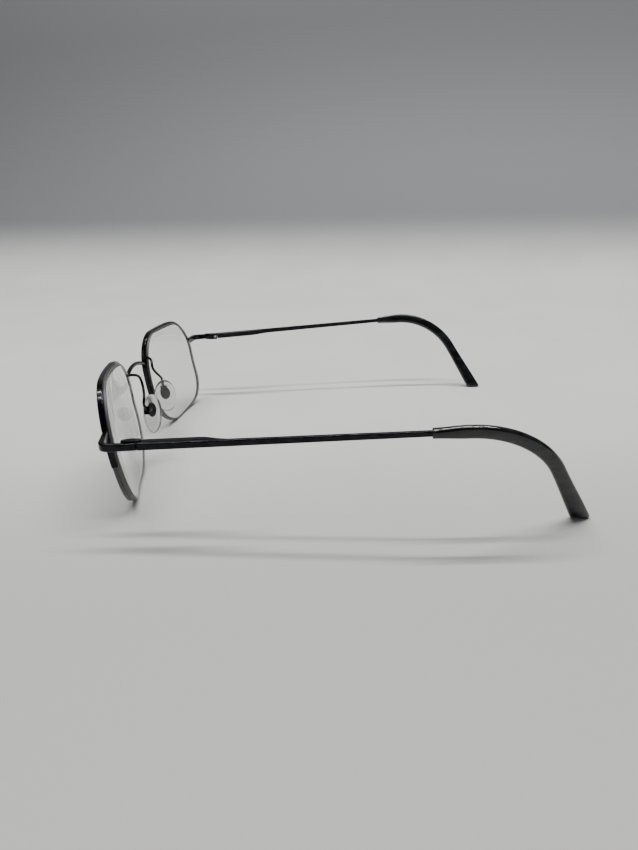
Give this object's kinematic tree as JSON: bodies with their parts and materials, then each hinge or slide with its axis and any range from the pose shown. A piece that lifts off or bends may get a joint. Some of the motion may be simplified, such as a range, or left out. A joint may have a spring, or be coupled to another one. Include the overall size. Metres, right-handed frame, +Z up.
{
  "type": "eyeglasses",
  "caption": "Half-rim spectacles with corded clear lenses, dark metal frame, rocking nose pads, sprung folding sides and smoky plastic tips.",
  "frame": {"origin": "on the surface the glasses stand on, under the middle of their bounding box", "axes": "+Z up, lenses face -Y, sides run back to +Y, +X is the wearer's left"},
  "size_m": [0.155, 0.1498, 0.0408],
  "materials": {
    "dark_metal": "polished gunmetal plating",
    "clear_lens": "clear, coated",
    "nylon": "clear nylon",
    "screw_steel": "turned",
    "insert_steel": "stamped, dark",
    "spring_steel": "bright",
    "clear_silicone": "clear soft plastic",
    "smoke_plastic": "dark translucent, polished"
  },
  "bodies": {
    "front": {"bridge": "dark_metal", "left_lens": "clear_lens", "left_rim": "dark_metal", "left_rim_liner": "nylon", "left_lens_cord": "nylon", "left_pad_arm": "dark_metal", "left_pad_box": "dark_metal", "left_pad_screw": "screw_steel", "left_endpiece": "dark_metal", "left_hinge_block": "dark_metal", "left_hinge_screw": "screw_steel", "right_lens": "clear_lens", "right_rim": "dark_metal", "right_rim_liner": "nylon", "right_lens_cord": "nylon", "right_pad_arm": "dark_metal", "right_pad_box": "dark_metal", "right_pad_screw": "screw_steel", "right_endpiece": "dark_metal", "right_hinge_block": "dark_metal", "right_hinge_screw": "screw_steel"},
    "left_pad": {"left_nose_pad": "clear_silicone", "left_pad_insert": "insert_steel"},
    "left_hinge_eye": {"left_hinge_slider": "spring_steel"},
    "left_side": {"left_spring_housing": "dark_metal", "left_hinge_spring": "spring_steel", "left_temple": "dark_metal", "left_temple_tip": "smoke_plastic"},
    "right_pad": {"right_nose_pad": "clear_silicone", "right_pad_insert": "insert_steel"},
    "right_hinge_eye": {"right_hinge_slider": "spring_steel"},
    "right_side": {"right_spring_housing": "dark_metal", "right_hinge_spring": "spring_steel", "right_temple": "dark_metal", "right_temple_tip": "smoke_plastic"}
  },
  "joints": [
    {"name": "left_fold", "type": "hinge", "parent": "front", "child": "left_hinge_eye", "pos_m": [0.06733, -0.05451, 0.02845], "axis": [0, 0, 1], "range_deg": [-8, 92.5]},
    {"name": "left_spring_pull", "type": "slide", "parent": "left_hinge_eye", "child": "left_side", "axis": [0.0731, 0.996, 0.0506], "range_m": [0, 0.001], "stiffness_N_per_m": 1500, "springref_m": -0.001, "deforming": ["left_hinge_spring"]},
    {"name": "left_pad_rock", "type": "hinge", "parent": "front", "child": "left_pad", "pos_m": [0.01208, -0.06736, 0.01889], "axis": [-0.3477, -0.9336, -0.0867], "range_deg": [-8, 8]},
    {"name": "right_fold", "type": "hinge", "parent": "front", "child": "right_hinge_eye", "pos_m": [-0.06733, -0.05451, 0.02845], "axis": [0, 0, -1], "range_deg": [-8, 85.5]},
    {"name": "right_spring_pull", "type": "slide", "parent": "right_hinge_eye", "child": "right_side", "axis": [-0.0731, 0.996, 0.0506], "range_m": [0, 0.001], "stiffness_N_per_m": 1500, "springref_m": -0.001, "deforming": ["right_hinge_spring"]},
    {"name": "right_pad_rock", "type": "hinge", "parent": "front", "child": "right_pad", "pos_m": [-0.01208, -0.06736, 0.01889], "axis": [-0.3477, 0.9336, 0.0867], "range_deg": [-8, 8]}
  ]
}
